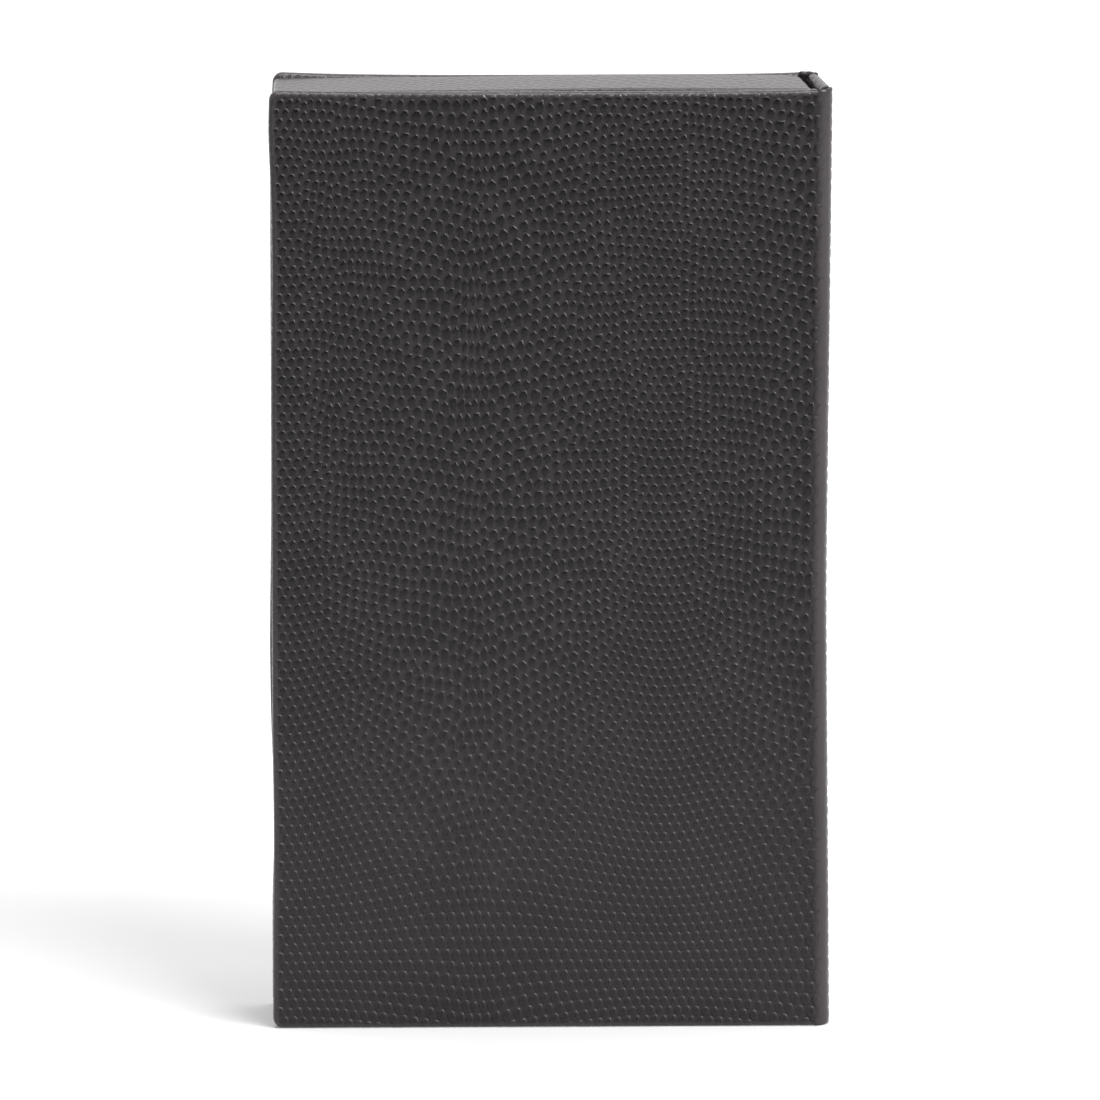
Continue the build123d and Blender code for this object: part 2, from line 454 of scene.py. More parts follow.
def printed_sheet(outline, centres):
    """The flat sheet: one many-sided face for each scale, marked, and the ground between them."""
    ring = walk(outline, edge_step)
    ring_points = np.array(ring)
    nearest = np.full(len(centres), np.inf)
    for point in ring_points:
        nearest = np.minimum(nearest, np.hypot(*(centres - point).T))
    centres = centres[within(centres, outline) & (nearest > scale_edge_gap)]
    points = [Vector(p) for p in ring] + [Vector(p) for p in centres]
    made = delaunay_2d_cdt(points, [], [list(range(len(ring)))], 1, 1e-5, True)
    corners, faces, sources = made[0], made[2], made[3]
    bm = bmesh.new()
    marked = bm.faces.layers.int.new("scale")
    bm.faces.layers.int.new("under")
    bm.verts.layers.float.new("relief")
    verts = [bm.verts.new((p.x, p.y, -ground_depth)) for p in corners]
    middles = np.array([np.mean([corners[i] for i in face], 0) for face in faces])
    for face, held in zip(faces, within(middles, outline)):
        if held:
            bm.faces.new([verts[i] for i in face])
    scales = [v for v, source in zip(verts, sources) if source and source[0] >= len(ring)]
    cut = bmesh.ops.bevel(
        bm, geom=scales, offset=scale_share, offset_type="PERCENT", segments=1, profile=0.5,
        affect="VERTICES", clamp_overlap=False, material=-1,
    )
    for face in cut["faces"]:
        face[marked] = 1
    shape_scales(cut["faces"])
    return bm


def cut_across(bm, places_u, places_v, wanted):
    """Cuts the wanted faces along straight lines across the sheet and along it."""
    for axis, places in ((0, places_u), (1, places_v)):
        for place in places:
            faces = [face for face in bm.faces if wanted(face)]
            geometry = set(faces)
            for face in faces:
                geometry.update(face.edges)
                geometry.update(face.verts)
            bmesh.ops.bisect_plane(
                bm, geom=list(geometry), dist=1e-4,
                plane_co=(place, 0, 0) if axis == 0 else (0, place, 0),
                plane_no=(1, 0, 0) if axis == 0 else (0, 1, 0),
            )


def close_under(bm, bends_u, bends_v):
    """Gives the sheet its thickness: a wall down from its outline, and an underside cut where it bends."""
    under = bm.faces.layers.int["under"]
    rim = [edge for edge in bm.edges if edge.is_boundary]
    wall = bmesh.ops.extrude_edge_only(bm, edges=rim)["geom"]
    for vert in (v for v in wall if isinstance(v, bmesh.types.BMVert)):
        vert.co.z = -leather_thickness
    lower = [e for e in wall if isinstance(e, bmesh.types.BMEdge) and e.is_boundary]
    for edge in rim + lower:
        edge.smooth = False
    filled = bmesh.ops.triangle_fill(bm, edges=lower, use_beauty=True, normal=(0, 0, -1))["geom"]
    for face in (f for f in filled if isinstance(f, bmesh.types.BMFace)):
        face[under] = 1
    cut_across(bm, bends_u, bends_v, lambda face: face[under])


def raise_scales(bm, bends_u, bends_v):
    """Raises each marked face as a bead with a rim, a shoulder and a crown, and cuts the print at bends."""
    marked = bm.faces.layers.int["scale"]
    scales = [f for f in bm.faces if f[marked]]
    bmesh.ops.inset_individual(bm, faces=scales, thickness=scale_rim, depth=scale_rise, use_even_offset=False)
    bmesh.ops.poke(bm, faces=scales, offset=scale_crown, center_mode="MEAN")
    relief = bm.verts.layers.float["relief"]
    for vert in bm.verts:
        vert[relief] = min(max((vert.co.z + ground_depth) / (scale_rise + scale_crown), 0), 1)
    under = bm.faces.layers.int["under"]
    cut_across(bm, bends_u, bends_v, lambda face: not face[under])


# Round the boards: the sheet is pasted down, turned over each board's edge and pressed flat inside, so these
# say where a place on the flat sheet lies on the closed box.

def smooth(t):
    t = np.clip(t, 0, 1)
    return t * t * (3 - 2 * t)


def fold(s, thickness, radius, inner_stretch):
    """Round a board's edge, s past a line one corner radius inside it: how far out, how deep, the turn."""
    flat = cover_corner_radius - radius
    quarter = pi * radius / 2
    straight = np.maximum(thickness - 2 * radius, 0)
    first = np.clip((s - flat) / radius, 0, pi / 2)
    second = np.clip((s - flat - quarter - straight) / radius, 0, pi / 2)
    down = np.clip(s - flat - quarter, 0, straight)
    inside = np.maximum(s - flat - 2 * quarter - straight, 0) * inner_stretch
    out = np.minimum(s, flat) + radius * np.sin(first) - radius * (1 - np.cos(second)) - inside
    deep = radius * (1 - np.cos(first)) + down + radius * np.sin(second)
    return out, deep, first + second


def section(u):
    """The closed cover's outer line seen from above: place, direction and outward normal at u."""
    front = np.clip((u - lid_end) / front_joint_radius, 0, pi / 2 + spine_lean) - pi / 2
    back = np.clip((u - spine_stop) / back_joint_radius, 0, pi / 2 - spine_lean)
    angle = np.where(u < spine_stop, front, spine_lean + back)
    normal = np.stack([np.cos(angle), np.sin(angle)], -1)
    direction = np.stack([-normal[..., 1], normal[..., 0]], -1)
    along_lid = np.minimum(u, lid_end) - lid_end
    along_spine = np.clip(u - front_joint_end, 0, spine_stop - front_joint_end)
    along_back = np.maximum(u - back_joint_end, 0)
    spine_direction = np.array([-spine_out[1], spine_out[0]])
    on_front = front_centre + front_joint_radius * normal + along_lid[..., None] * np.array([1.0, 0.0])
    on_spine = spine_start + along_spine[..., None] * spine_direction
    on_back = back_centre + back_joint_radius * normal + along_back[..., None] * np.array([-1.0, 0.0])
    place = np.where((u < front_joint_end)[..., None], on_front, on_spine)
    return np.where((u > spine_stop)[..., None], on_back, place), direction, normal


board_step = 1.0
step_lean = 0.35
joint_pull = 1.6


def thickness_at(u):
    """What the sheet folds round at head and tail: a cover, the spine, or only itself at a joint."""
    edges = [
        lid_end, lid_end + board_step, front_joint_end - board_step, front_joint_end,
        spine_stop, spine_stop + board_step, back_joint_end - board_step, back_joint_end,
    ]
    sizes = [
        cover_thickness, joint_thickness, joint_thickness, spine_thickness,
        spine_thickness, joint_thickness, joint_thickness, cover_thickness,
    ]
    return np.interp(u, edges, sizes)


def stepped(u):
    """Where the turned-in edge lies round the section: almost straight down each board's end, then along."""
    places, lands = [0.0], [0.0]
    for start, stop in ((lid_end, front_joint_end), (spine_stop, back_joint_end)):
        places += [start, start + board_step, stop - board_step, stop]
        lands += [start, start + step_lean, stop - step_lean, stop]
    return np.interp(u, places + [sheet_width], lands + [sheet_width])


def stretched(u):
    """How far the print is pulled flat: most at a joint's middle, less over the spine, not on the covers."""
    front = 1 - np.abs(2 * (u - lid_end) / (front_joint_end - lid_end) - 1)
    back = 1 - np.abs(2 * (u - spine_stop) / (back_joint_end - spine_stop) - 1)
    joint = fold_flattening * smooth(joint_pull * np.maximum(front, back))
    spine = spine_flattening * smooth(u - lid_end) * smooth(back_joint_end - u)
    return np.maximum(joint, spine)


# The turned-in edges start to press the print at this much of a right angle, over this span
press_start = 0.2
press_span = 0.4
tail_press_top = 130.0
tail_press_span = 110.0


def lowered(rise, pressed):
    """The print's height where the hide is pressed, with the back of the hide as it was."""
    return np.where(rise > -ground_depth - 1e-6, rise * (1 - pressed), rise)


def on_cover(flat):
    """Lays flat points (u, v, height) on the closed cover."""
    u, v, rise = flat.T
    held_u = np.clip(u, 0, sheet_width)
    held_v = np.clip(v, sheet_tail, sheet_head)
    past_u, past_v = u - held_u, v - held_v
    past = np.hypot(past_u, past_v)
    share_u = np.where(past > nothing, past_u / np.maximum(past, nothing), 0)
    share_v = np.where(past > nothing, past_v / np.maximum(past, nothing), 0)
    thickness = thickness_at(held_u)
    radius = np.minimum(cover_edge_radius, thickness / 2)
    folded = cover_corner_radius - radius + pi * radius + np.maximum(thickness - 2 * radius, 0)
    stretch = (flap_depth + cover_corner_radius - radius) / (edge_wrap - folded)
    out, deep, turn = fold(past, thickness, radius, stretch)
    place, direction, normal = section(held_u + (stepped(held_u) - held_u) * turn / pi)
    over_edge = smooth((np.sin(turn) - press_start + press_start * np.abs(share_u)) / press_span)
    pressed = np.maximum(fold_flattening * over_edge, stretched(held_u))
    near_tail = smooth((tail_press_top - held_v) / tail_press_span)
    pressed = np.maximum(pressed, tail_flattening * near_tail)
    pressed = np.maximum(pressed, flap_flattening * smooth(turn - pi / 2))
    rise = lowered(rise, pressed)
    side = share_u[:, None] * direction
    outward = np.cos(turn)[:, None] * normal + np.sin(turn)[:, None] * side
    flat_place = place + out[:, None] * side - deep[:, None] * normal + rise[:, None] * outward
    z = held_v + (out + rise * np.sin(turn)) * share_v
    return np.concatenate([flat_place, z[:, None], 1 - pressed[:, None]], 1)


# Made by hand: the boards are a little out of true, so the spine bows in at its middle, the head edges of the
# covers dip between their corners, and the tray's head wall stands a little proud.

bow_depth = 0.92
bow_middle = 95.0
bow_half_length = 100.0
bow_reach = 1.1
bow_roundness = 0.01
bow_fullness = 1.2
ends_out = 0.34


def spine_bow(z):
    """How far the spine stands in from its true line at height z: in at its middle and out at both ends."""
    from_middle = np.sqrt(((z - bow_middle) / bow_half_length) ** 2 + bow_roundness)
    return bow_depth * np.clip(bow_reach - from_middle, 0, 1) ** bow_fullness - ends_out


# Dents along the fore edges: how far in, the middle and the half width
lid_dents = ((0.25, 42, 16), (-0.4, 192, 9), (0.22, 163, 14))
back_dents = ((0.55, 42, 12), (-0.35, 78, 20), (0.7, 202, 10))


def dent(places, depth, middle, width):
    return depth * np.exp(-(((places - middle) / width) ** 2))


def fore_wave(z, y):
    """How far the fore edges stand in: the lid's for places in front of the middle, the back's behind it."""
    lid_wave, back_wave = (sum(dent(z, *each) for each in dents) for dents in (lid_dents, back_dents))
    return np.where(y < 0, lid_wave, back_wave)


lid_dip = 0.5
back_dip = 0.35
wall_proud = (0.42, 19, 34)
wall_low = 0.12


def hand_worked(points, tray=False):
    """Moves points in mm by the small errors of the maker's hand. Each fades in over its own part of the box,
    and the dip of a cover's head edge is gone at both corners, more suddenly at the spine."""
    x, y, z = points.T
    across = x / -fore_x
    spine_side = smooth((x - 5) / 50)
    fore_side = smooth((-x - 40) / 18)
    near_head = smooth((z - 110) / 90)
    move_x = -spine_bow(z) * spine_side
    if tray:
        move_z = near_head * (dent(x, *wall_proud) - wall_low)
    else:
        move_x = move_x + fore_wave(z, y) * fore_side
        dip = 1 - np.clip(np.abs(across), 0, 1) ** np.where(across > 0, 8, 3)
        back_share = np.clip((y - lid_low.y) / (back_high.y - lid_low.y), 0, 1)
        move_z = -near_head * dip * (lid_dip + back_dip * back_share)
    return np.stack([x + move_x, y, z + move_z], 1)


relief_fade = 3.5


def piece_from(bm, name, material, place=None, tray=False):
    """Puts a bmesh in mm into the scene as an object at the origin, in metres, with its material. Where place
    also gives the share of the print that is left, the leather gets its relief and drawn_and_sheen
    attributes, which carry the painted shade on the scale crowns and the partly painted sheen of drawn hide."""
    for face in bm.faces:
        face.smooth = True
    mesh = bpy.data.meshes.new(name)
    bm.to_mesh(mesh)
    bm.free()
    flat = np.empty(len(mesh.vertices) * 3)
    mesh.vertices.foreach_get("co", flat)
    points = flat.reshape(-1, 3)
    if place is not None:
        points = place(points)
    if points.shape[1] > 3 and "relief" in mesh.attributes:
        relief = np.empty(len(points))
        mesh.attributes["relief"].data.foreach_get("value", relief)
        # Fading the relief where the print is pressed also fades the painted shade on the crowns, towards the
        # tail too
        mesh.attributes["relief"].data.foreach_set("value", relief * points[:, 3] ** relief_fade)
        drawn_and_sheen = mesh.attributes.new("drawn_and_sheen", "FLOAT", "POINT")
        drawn_and_sheen.data.foreach_set("value", 1 - points[:, 3])
    points = points[:, :3]
    mesh.vertices.foreach_set("co", (hand_worked(points, tray) * mm).ravel())
    mesh.update()
    mesh.materials.append(material)
    piece = bpy.data.objects.new(name, mesh)
    bpy.context.scene.collection.objects.link(piece)
    return piece


# Leather finish: near-black pigment, a little glossier on the scales than on the ground, with a fine grain
# all over. The scales' crowns are painted much darker than the ground: painted shade for the dark reflection
# on
# their glossy tops, which fades where the print is pressed and towards the tail. The hide drawn tight is
# paler:
# partly its own paler stretched finish, partly painted sheen along the turned edges, the spine and the tray's
# rim.

def pattern_group(name, inputs, outputs):
    """A new node group with these inputs, by name with their usual values, and outputs: its tree and ends."""
    group = bpy.data.node_groups.new(name, "ShaderNodeTree")
    for label, usual in inputs.items():
        socket = group.interface.new_socket(name=label, in_out="INPUT", socket_type="NodeSocketFloat")
        socket.default_value = usual
    for label in outputs:
        group.interface.new_socket(name=label, in_out="OUTPUT", socket_type="NodeSocketFloat")
    return group, group.nodes.new("NodeGroupInput"), group.nodes.new("NodeGroupOutput")


def placed(tree, group, **values):
    """A group placed in a material with its own values: its outputs."""
    node = tree.nodes.new("ShaderNodeGroup")
    node.node_tree = group
    for label, value in values.items():
        node.inputs[label.replace("_", " ")].default_value = value
    return node.outputs


def per_metre(tree, size):
    """How many times a size in mm goes into a metre."""
    return worked_out(tree, "DIVIDE", 1 / mm, size)


def noise(tree, place, scale, detail):
    node = tree.nodes.new("ShaderNodeTexNoise")
    node.inputs["Detail"].default_value = detail
    tree.links.new(place, node.inputs["Vector"])
    plug(tree.links, scale, node.inputs["Scale"])
    return node


def grain_group():
    """Fine grain and slow mottling over Object coordinates: a height and a tone, both about 0.5."""
    group, source, sink = pattern_group(
        "leather_grain", {"Grain Size": 0.35, "Mottle Size": 18.0}, ("Height", "Tone"),
    )
    place = object_place(group)
    grain_scale = per_metre(group, source.outputs["Grain Size"])
    pores = group.nodes.new("ShaderNodeTexVoronoi")
    pores.feature = "SMOOTH_F1"
    group.links.new(place, pores.inputs["Vector"])
    group.links.new(grain_scale, pores.inputs["Scale"])
    fibre = noise(group, place, grain_scale, 4.0)
    mottle = noise(group, place, per_metre(group, source.outputs["Mottle Size"]), 3.0)
    grain = mixed(group, 0.5, pores.outputs["Distance"], fibre.outputs["Fac"])
    group.links.new(grain, sink.inputs["Height"])
    group.links.new(mottle.outputs["Fac"], sink.inputs["Tone"])
    return group


leather_grain = grain_group()
ground_colour = (0.0305, 0.0262, 0.0275, 1.0)
# The scale crowns' colour is painted shade: far darker than the ground, for the dark reflection on their
# glossy tops
scale_painted_shade_colour = (0.003, 0.0023, 0.0026, 1.0)
# The drawn colour is partly the paler stretched hide and partly painted sheen on turned edges, the spine and
# the tray's rim
drawn_and_sheen_colour = (0.052, 0.0445, 0.046, 1.0)
ground_roughness = 0.44
scale_roughness = 0.28
drawn_roughness = 0.18
roughness_spread = 0.05
drawn_grain = 0.35
shoulder_relief, crown_relief = 0.43, 0.71
slack_hide, tight_hide = 0.45, 0.9


def mixed_colour(tree, factor, a, b, how="MIX"):
    """Two colours mixed, where each is a colour or a socket, and so is the factor."""
    node = tree.nodes.new("ShaderNodeMix")
    node.data_type = "RGBA"
    node.blend_type = how
    for name, value in (("Factor", factor), ("A", a), ("B", b)):
        plug(tree.links, value, node.inputs[name])
    return node.outputs["Result"]


def shaded(tree, colour, shade):
    """A colour made lighter or darker by a number about 1."""
    tint = tree.nodes.new("ShaderNodeCombineColor")
    for channel in ("Red", "Green", "Blue"):
        tree.links.new(shade, tint.inputs[channel])
    return mixed_colour(tree, 1.0, colour, tint.outputs["Color"], "MULTIPLY")


def bump(tree, shader, height, strength, depth, inward=False):
    """Gives a shader a fine relief of a depth in mm."""
    node = tree.nodes.new("ShaderNodeBump")
    node.invert = inward
    node.inputs["Strength"].default_value = strength
    node.inputs["Distance"].default_value = depth * mm
    tree.links.new(height, node.inputs["Height"])
    tree.links.new(node.outputs["Normal"], shader.inputs["Normal"])


def new_finish(name, **settings):
    """A material whose shader has these plain settings, with its node tree and shader."""
    material = bpy.data.materials.new(name)
    material.use_nodes = True
    shader = material.node_tree.nodes["Principled BSDF"]
    for setting, value in settings.items():
        shader.inputs[setting.replace("_", " ")].default_value = value
    return material, material.node_tree, shader


def attribute(tree, name):
    node = tree.nodes.new("ShaderNodeAttribute")
    node.attribute_name = name
    return node.outputs["Fac"]


def embossed_leather(name):
    """Leather whose scales are in the mesh. Relief is their height above the ground and sets the painted
    shade on the crowns. drawn_and_sheen is how far the hide is pulled tight, which leaves it smoother and
    paler, the paleness partly painted sheen."""
    material, tree, shader = new_finish(name, Specular_IOR_Level=0.33)
    grain = placed(tree, leather_grain)
    scale = mapped(tree, attribute(tree, "relief"), shoulder_relief, crown_relief, 0.0, 1.0)
    drawn_sheen_share = mapped(tree, attribute(tree, "drawn_and_sheen"), slack_hide, tight_hide, 0.0, 1.0)
    # The crowns take painted shade, and drawn hide takes a paler colour that is partly painted sheen
    pigment_and_painted_light = mixed_colour(tree, scale, ground_colour, scale_painted_shade_colour)
    pigment_and_painted_light = mixed_colour(tree, drawn_sheen_share, pigment_and_painted_light, drawn_and_sheen_colour)
    shade = mapped(tree, grain["Tone"], 0.3, 0.7, 0.88, 1.12)
    tree.links.new(shaded(tree, pigment_and_painted_light, shade), shader.inputs["Base Color"])
    gloss = mapped(tree, scale, 0.0, 1.0, ground_roughness, scale_roughness)
    smoothed = mapped(tree, drawn_sheen_share, 0.0, 1.0, 0.0, ground_roughness - drawn_roughness)
    uneven = mapped(tree, grain["Height"], 0.2, 0.8, -roughness_spread, roughness_spread)
    roughness = worked_out(tree, "SUBTRACT", worked_out(tree, "ADD", uneven, gloss), smoothed)
    tree.links.new(roughness, shader.inputs["Roughness"])
    fineness = mapped(tree, drawn_sheen_share, 0.0, 1.0, 1.0, drawn_grain)
    bump(tree, shader, worked_out(tree, "MULTIPLY", grain["Height"], fineness), 0.5, 0.04)
    return material


cover_leather = embossed_leather("lizard_leather")


def cover_outline():
    """The cut sheet: turned-in flaps mitred at the corners, with a rounded lug left to cover each corner."""
    right, low, high = sheet_width, sheet_tail, sheet_head
    inner, outer, deep = corner_wrap, edge_wrap, flap_depth
    return [
        (deep, low - outer), (right - deep, low - outer), *arc((right, low), inner, -90, 90),
        (right + outer, low + deep), (right + outer, high - deep), *arc((right, high), inner, 0, 90),
        (right - deep, high + outer), (deep, high + outer), *arc((0, high), inner, 90, 90),
        (-outer, high - deep), (-outer, low + deep), *arc((0, low), inner, 180, 90),
    ]


hide_margin = 3
cover_centres = scale_centres(
    (-edge_wrap - hide_margin, sheet_tail - edge_wrap - hide_margin),
    (sheet_width + edge_wrap + hide_margin, sheet_head + edge_wrap + hide_margin),
)
cover_sheet = printed_sheet(cover_outline(), cover_centres)
bend_spacing = 0.6


def bend_places(start, stop):
    """Places no further apart than the spacing of the cuts in a bend."""
    return np.linspace(start, stop, int(abs(stop - start) / bend_spacing) + 2)


fold_places = bend_places(cover_corner_radius - cover_edge_radius, corner_wrap)
head_and_tail = [sheet_tail - s for s in fold_places] + [sheet_head + s for s in fold_places]

# The print is cut at these places past a board's edge, so that it goes round evenly
edge_places = [0.7, 1.3, 1.9, 2.6, 3.4]
edge_bends = [sheet_tail - s for s in edge_places] + [sheet_head + s for s in edge_places]

# The turned-in edges are cut straight across at the top and the foot of each board's end
turned_in = 2.6
board_ends = [lid_end, front_joint_end, spine_stop, back_joint_end]
foot_cuts = [end + step for end, step in zip(board_ends, [board_step, -board_step] * 2)]


def is_turned_in(face):
    v = face.calc_center_median().y
    return v > sheet_head + turned_in or v < sheet_tail - turned_in


cut_across(cover_sheet, board_ends + foot_cuts, [], is_turned_in)


def cover_part(name, stretch, turned_stretch, bends, top_bends):
    """A stretch of the printed sheet, wrapped round the boards, with turned-in edges of another stretch."""
    bm = cover_sheet.copy()
    outside = []
    for face in bm.faces:
        low, high = turned_stretch if is_turned_in(face) else stretch
        if not low <= face.calc_center_median().x < high:
            outside.append(face)
    bmesh.ops.delete(bm, geom=outside, context="FACES")
    close_under(bm, bends, head_and_tail)
    raise_scales(bm, top_bends, edge_bends)
    piece = piece_from(bm, name, cover_leather, on_cover)
    return piece


joint_overlap = 1.2
joint_hold = 0.15
sheet_end = 1e3


def across_joint(piece, first, second, start, stop):
    """Bends a joint's piece over the middle of its arc, so that its edges keep to the boards beside it."""
    start, stop = (Vector((*place, height / 2)) * mm for place in (start, stop))
    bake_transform(piece, first, second, start=start.lerp(stop, joint_hold), end=stop.lerp(start, joint_hold))


# ---------------------------------------------------------------------------------------------------------
# Lid: the cover sheet's first stretch. It is glued over the lid board and turned in on three sides, with its
# print pressed flatter where it goes round the board's edges.

lid_stop = lid_end - joint_overlap
lid_leather = cover_part(
    "lid_leather", (-sheet_end, lid_stop), (-sheet_end, foot_cuts[0]),
    [-s for s in fold_places] + [board_ends[0]], [-s for s in edge_places],
)
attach(lid_leather, "lid")
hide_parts("lid_cover_leather")

# Front joint: the same sheet with no board under it, where the lid folds. It runs on a little over both
# boards, so that no edge of it stands free when the lid opens.

front_bends = bend_places(lid_end, front_joint_end)
front_joint_stop = front_joint_end + joint_overlap
front_joint = cover_part(
    "front_joint_leather", (lid_stop, front_joint_stop), foot_cuts[0:2], front_bends, front_bends,
)
front_joint_places = (spine_start, (front_centre[0], lid_low.y))
across_joint(front_joint, "spine", "lid", *front_joint_places)
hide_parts("front_hinge_leather")

# Spine: the sheet's middle stretch, glued over the spine board and turned in at the head and tail. The print
# is pulled rather flat over it.

back_joint_start = spine_stop - joint_overlap
spine_leather = cover_part(
    "spine_leather_skin", (front_joint_stop, back_joint_start), foot_cuts[1:3], board_ends[1:3], [],
)
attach(spine_leather, "spine")
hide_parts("spine_leather")

# Back joint: the same sheet with no board under it, where the spine folds against the back cover. It is made
# and fixed like the front joint.

back_bends = bend_places(spine_stop, back_joint_end)
back_start = back_joint_end + joint_overlap
back_joint = cover_part(
    "back_joint_leather", (back_joint_start, back_start), foot_cuts[2:4], back_bends, back_bends,
)
back_joint_places = ((back_centre[0], back_high.y), spine_end)
across_joint(back_joint, "base", "spine", *back_joint_places)
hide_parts("back_hinge_leather")

# Back cover: the sheet's last stretch. It is glued over the back board and turned in on three sides, as the
# lid's is.

back_leather = cover_part(
    "back_leather", (back_start, sheet_end), (foot_cuts[3], sheet_end),
    [board_ends[3]] + [sheet_width + s for s in fold_places], [sheet_width + s for s in edge_places],
)
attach(back_leather, "base")
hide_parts("back_cover_leather")

cover_sheet.free()


# ---------------------------------------------------------------------------------------------------------
# Boards: grey millboard under the leather of the covers, the spine and the tray, and the card that levels the
# back cover's inside. They are the modelled solids, a little out of true with the leather over them.

board_cut = 10.0


def fibre_group():
    """Fibres pressed into board, over Object coordinates: a height, and 1 where the pulp is pale."""
    group, source, sink = pattern_group("board_fibres", {"Fibre Size": 1.2}, ("Height", "Pale"))
    fibre = noise(group, object_place(group), per_metre(group, source.outputs["Fibre Size"]), 6.0)
    fibre.inputs["Roughness"].default_value = 0.7
    group.links.new(fibre.outputs["Fac"], sink.inputs["Height"])
    group.links.new(mapped(group, fibre.outputs["Fac"], 0.35, 0.65, 0.0, 1.0), sink.inputs["Pale"])
    return group


board_fibres = fibre_group()


def fibre_board(name, pale, dark, size):
    """Pressed paper board: pale pulp with darker flecks and a faint fibre relief."""
    material, tree, shader = new_finish(name, Roughness=0.9, Specular_IOR_Level=0.2)
    fibre = placed(tree, board_fibres, Fibre_Size=size)
    tree.links.new(mixed_colour(tree, fibre["Pale"], dark, pale), shader.inputs["Base Color"])
    bump(tree, shader, fibre["Height"], 0.4, 0.05)
    return material


grey_millboard = fibre_board("grey_millboard", (0.30, 0.29, 0.27, 1.0), (0.20, 0.19, 0.175, 1.0), 1.2)
black_card = fibre_board("black_card", (0.022, 0.021, 0.022, 1.0), (0.014, 0.0135, 0.014, 1.0), 0.8)


def board(node, name, material, body, tray=False):
    """A board from its modelled solid, cut across so that it follows the small bends of the finished box."""
    bm = bmesh.new()
    bm.from_mesh(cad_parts[node].data)
    bmesh.ops.scale(bm, vec=(1 / mm, 1 / mm, 1 / mm), verts=bm.verts)
    bmesh.ops.remove_doubles(bm, verts=bm.verts, dist=1e-3)
    low, high = (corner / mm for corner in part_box(node))
    for axis in (0, 2):
        for place in np.arange(low[axis] + board_cut / 2, high[axis], board_cut):
            co, no = [0, 0, 0], [0, 0, 0]
            co[axis], no[axis] = place, 1
            geometry = bm.verts[:] + bm.edges[:] + bm.faces[:]
            bmesh.ops.bisect_plane(bm, geom=geometry, dist=1e-4, plane_co=co, plane_no=no)
    piece = piece_from(bm, name, material, tray=tray)
    piece.data.set_sharp_from_angle(angle=radians(35))
    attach(piece, body)
    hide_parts(node)
    return piece


board("lid_board", "lid_millboard", grey_millboard, "lid")
board("spine_board", "spine_millboard", grey_millboard, "spine")
board("back_board", "back_millboard", grey_millboard, "base")
board("back_infill_card", "back_levelling_card", black_card, "base")
for wall in ("floor_board", "head_wall", "tail_wall", "fore_wall", "spine_wall"):
    board("tray_" + wall, "tray_" + wall + "_millboard", grey_millboard, "base", tray=True)


# ---------------------------------------------------------------------------------------------------------
# Linings: thin black book cloth pasted inside the lid, over the joints and down the spine. Each strip rides
# on the board or joint that it is pasted to.

cloth_thickness = 0.4
cloth_gap = 0.05
cloth_steps = 24
lining_inset = 0.1
thread_pitch = 0.42
cloth_warp = (0.030, 0.029, 0.031, 1.0)
cloth_weft = (0.018, 0.0175, 0.019, 1.0)


def book_cloth():
    """Plain weave: threads over and under across the sheet, in the piece's own cloth map."""
    material, tree, shader = new_finish(
        "book_cloth", Roughness=0.85, Specular_IOR_Level=0.25, Sheen_Weight=0.15,
    )
    weave = tree.nodes.new("ShaderNodeTexBrick")
    weave.offset = 0.5
    for setting, value in (
        ("Scale", 1.0), ("Brick Width", 1.1), ("Row Height", 1.0), ("Mortar Size", 0.12),
        ("Mortar Smooth", 1.0), ("Color1", cloth_warp), ("Color2", cloth_warp), ("Mortar", cloth_weft),
    ):
        weave.inputs[setting].default_value = value
    cloth_map = tree.nodes.new("ShaderNodeUVMap")
    cloth_map.uv_map = "cloth"
    tree.links.new(cloth_map.outputs["UV"], weave.inputs["Vector"])
    tree.links.new(weave.outputs["Color"], shader.inputs["Base Color"])
    bump(tree, shader, weave.outputs["Fac"], 0.5, 0.06, inward=True)
    return material


lining_cloth = book_cloth()


def cloth_strip(name, path):
    """A strip of cloth from tail to head, whose open side follows a path of (u, depth) inside the cover."""
    low = turn_in_width + lining_inset
    high = height - low
    bm = bmesh.new()
    line = [bm.verts.new((u, low, -depth)) for u, depth in path]
    edges = [bm.edges.new(pair) for pair in zip(line, line[1:])]
    for _ in range(cloth_steps):
        grown = bmesh.ops.extrude_edge_only(bm, edges=edges)["geom"]
        edges = [e for e in grown if isinstance(e, bmesh.types.BMEdge)]
        moved = [v for v in grown if isinstance(v, bmesh.types.BMVert)]
        edges = [e for e in edges if all(v in moved for v in e.verts)]
        bmesh.ops.translate(bm, verts=moved, vec=(0, (high - low) / cloth_steps, 0))
    bmesh.ops.recalc_face_normals(bm, faces=bm.faces)
    if sum(f.normal.z * f.calc_area() for f in bm.faces) > 0:
        bmesh.ops.reverse_faces(bm, faces=bm.faces)
    uv = bm.loops.layers.uv.new("cloth")
    bmesh.ops.solidify(bm, geom=bm.faces, thickness=cloth_thickness)
    for face in bm.faces:
        for loop in face.loops:
            x, y, z = loop.vert.co
            loop[uv].uv = ((x - z) / thread_pitch, y / thread_pitch)
    piece = piece_from(bm, name, lining_cloth, on_cover)
    piece.data.set_sharp_from_angle(angle=radians(50))
    return piece


def level_run(start, stop, depth, step):
    """Points of a path that stays at one depth, about a step apart."""
    return [(u, depth) for u in np.linspace(start, stop, max(2, int(abs(stop - start) / step) + 1))]


cover_board_thickness = 2.4
spine_board_thickness = 1.8
lid_inside = leather_thickness + cover_board_thickness + cloth_thickness
spine_inside = leather_thickness + spine_board_thickness + cloth_thickness
joint_inside = joint_thickness
cloth_turn = 0.45
past_turn = 0.6


